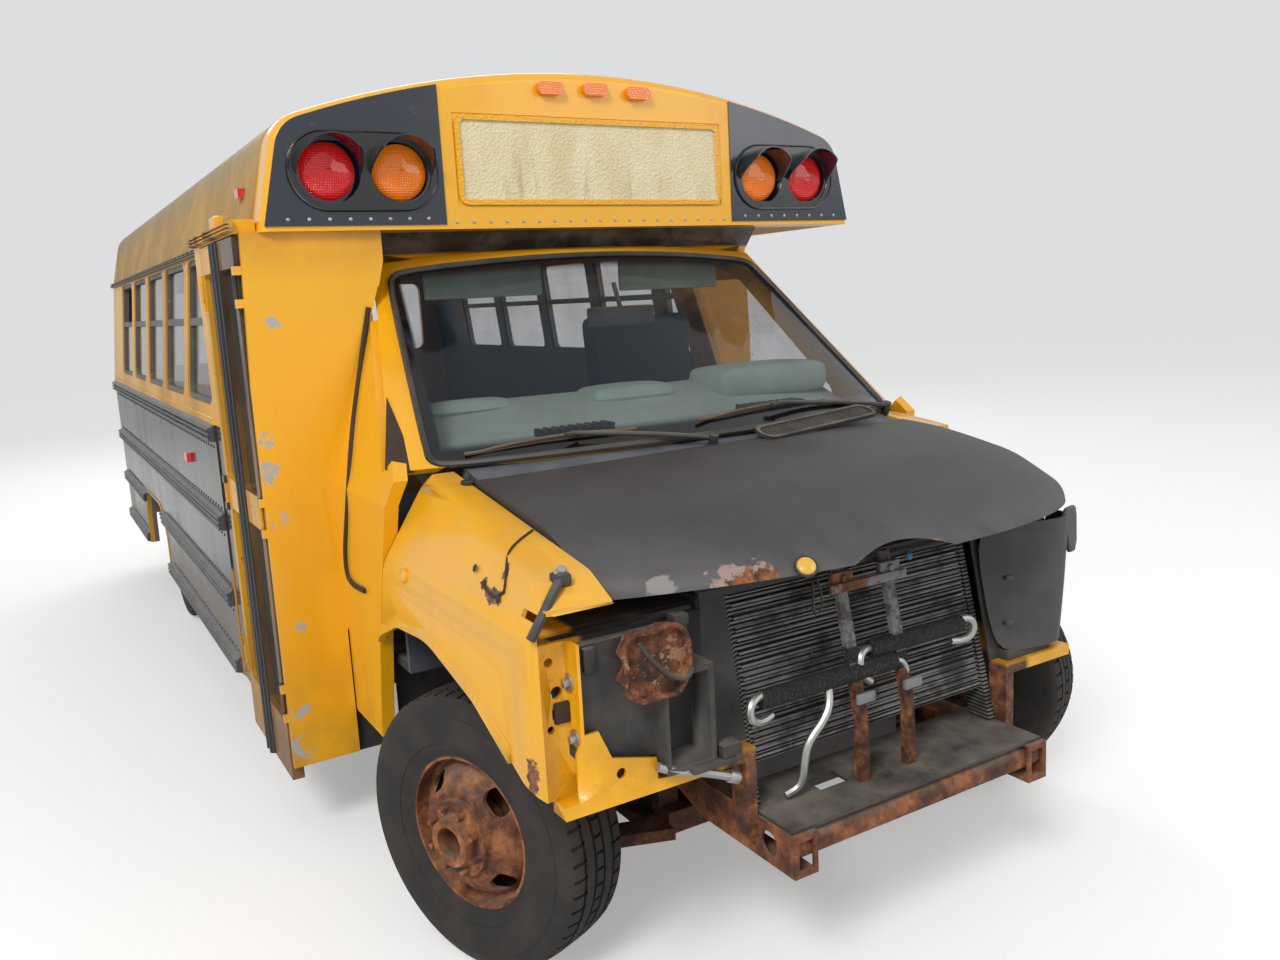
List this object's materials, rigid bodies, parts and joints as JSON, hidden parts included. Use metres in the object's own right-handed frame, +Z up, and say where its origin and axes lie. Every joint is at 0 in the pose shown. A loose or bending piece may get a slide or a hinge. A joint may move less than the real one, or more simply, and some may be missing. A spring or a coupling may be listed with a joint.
{
  "type": "short school bus",
  "caption": "Short school bus on a van cab chassis: hollow body, long hood, folding entry door, rear door, steered front wheels and dual rear wheels.",
  "frame": {"origin": "on the ground, under the middle of the overall length and width", "axes": "+Y towards the rear along the length, +X towards the left side, +Z up"},
  "size_m": [2.484, 6.5186, 2.469],
  "materials": {
    "yellow_paint": "weathered gloss",
    "black_paint": "matte, faded",
    "gloss_black": "gloss",
    "grey_paint": "satin",
    "cream_sign": "pebbled, stained",
    "rusty_steel": "rusty",
    "rusty_wheel": "rusty",
    "cast_metal": "rough",
    "bare_aluminium": "dull",
    "tyre_rubber": "dusty",
    "flap_rubber": "matte",
    "floor_rubber": "matte",
    "black_plastic": "matte",
    "grey_plastic": "satin",
    "cab_plastic": "satin",
    "seat_cloth": "woven",
    "amber_lens": "gloss",
    "red_lens": "gloss",
    "clear_glass": "clear"
  },
  "bodies": {
    "bus": {"air_dam": "black_plastic", "amber_lamps": "amber_lens", "cab_shell": "yellow_paint", "core_support": "yellow_paint", "cowl": "grey_plastic", "cross_members": "rusty_steel", "dashboard": "cab_plastic", "drive_shaft": "rusty_steel", "driver_seat": "seat_cloth", "engine_block": "cast_metal", "exhaust": "rusty_steel", "fenders": "yellow_paint", "floor": "floor_rubber", "frame_rails": "rusty_steel", "front_cap": "yellow_paint", "front_suspension": "rusty_steel", "fuel_tank": "black_paint", "headlamp_mounts": "black_plastic", "lamp_panels": "gloss_black", "mud_flaps": "flap_rubber", "oil_coolers": "bare_aluminium", "radiator": "bare_aluminium", "rear_axle": "rusty_steel", "rear_bumper": "black_paint", "rear_wall": "yellow_paint", "red_lamps": "red_lens", "roof": "yellow_paint", "rub_rails": "grey_paint", "side_baffles": "black_plastic", "side_glass": "clear_glass", "side_wall_left": "yellow_paint", "side_wall_right": "yellow_paint", "sign_board": "cream_sign", "steering_wheel": "black_plastic", "transition_panels": "yellow_paint", "window_frames": "grey_paint", "windshield": "clear_glass"},
    "knuckle_left": {"knuckle_left": "rusty_steel"},
    "knuckle_right": {"knuckle_right": "rusty_steel"},
    "front_wheel_left": {"front_wheel_left": "rusty_wheel", "front_tyre_left": "tyre_rubber"},
    "front_wheel_right": {"front_wheel_right": "rusty_wheel", "front_tyre_right": "tyre_rubber"},
    "rear_wheels_left": {"rear_wheels_left": "rusty_wheel", "rear_tyres_left": "tyre_rubber"},
    "rear_wheels_right": {"rear_wheels_right": "rusty_wheel", "rear_tyres_right": "tyre_rubber"},
    "hood": {"hood": "black_paint"},
    "driver_door": {"driver_door": "yellow_paint", "driver_door_glass": "clear_glass"},
    "entry_leaf_front": {"entry_leaf_front": "black_paint", "entry_glass_front": "clear_glass"},
    "entry_leaf_rear": {"entry_leaf_rear": "black_paint", "entry_glass_rear": "clear_glass"},
    "rear_door": {"rear_door": "yellow_paint", "rear_door_glass": "clear_glass"}
  },
  "joints": [
    {"name": "steer_left", "type": "hinge", "parent": "bus", "child": "knuckle_left", "pos_m": [0.86, -2.4957, 0.372], "axis": [0, 0, 1], "range_deg": [-56.3, 13.7]},
    {"name": "steer_right", "type": "hinge", "parent": "bus", "child": "knuckle_right", "pos_m": [-0.86, -2.4957, 0.372], "axis": [0, 0, 1], "range_deg": [-56.3, 13.7]},
    {"name": "front_left_spin", "type": "hinge", "parent": "knuckle_left", "child": "front_wheel_left", "pos_m": [0.88888, -2.48444, 0.372], "axis": [0.9317, 0.3633, 0], "continuous": true},
    {"name": "front_right_spin", "type": "hinge", "parent": "knuckle_right", "child": "front_wheel_right", "pos_m": [-0.88888, -2.50696, 0.372], "axis": [0.9317, 0.3633, 0], "continuous": true},
    {"name": "rear_left_spin", "type": "hinge", "parent": "bus", "child": "rear_wheels_left", "pos_m": [0.883, 1.5443, 0.372], "axis": [1, 0, 0], "continuous": true},
    {"name": "rear_right_spin", "type": "hinge", "parent": "bus", "child": "rear_wheels_right", "pos_m": [-0.883, 1.5443, 0.372], "axis": [1, 0, 0], "continuous": true},
    {"name": "hood_hinge", "type": "hinge", "parent": "bus", "child": "hood", "pos_m": [0, -2.2487, 1.196], "axis": [-1, 0, 0], "range_deg": [0, 50]},
    {"name": "driver_door_hinge", "type": "hinge", "parent": "bus", "child": "driver_door", "pos_m": [1.012, -2.0867, 1], "axis": [0, 0, -1], "range_deg": [0, 65]},
    {"name": "entry_front_hinge", "type": "hinge", "parent": "bus", "child": "entry_leaf_front", "pos_m": [-1.222, -1.6297, 1.1], "axis": [0, 0, 1], "range_deg": [0, 85]},
    {"name": "entry_rear_hinge", "type": "hinge", "parent": "bus", "child": "entry_leaf_rear", "pos_m": [-1.222, -1.0397, 1.1], "axis": [0, 0, -1], "range_deg": [0, 85]},
    {"name": "rear_door_hinge", "type": "hinge", "parent": "bus", "child": "rear_door", "pos_m": [-0.457, 3.1483, 1.31], "axis": [0, 0, 1], "range_deg": [0, 100]}
  ],
  "couplings": [
    {"joint": "steer_right", "follows": "steer_left", "ratio": 1},
    {"joint": "entry_rear_hinge", "follows": "entry_front_hinge", "ratio": 1}
  ]
}
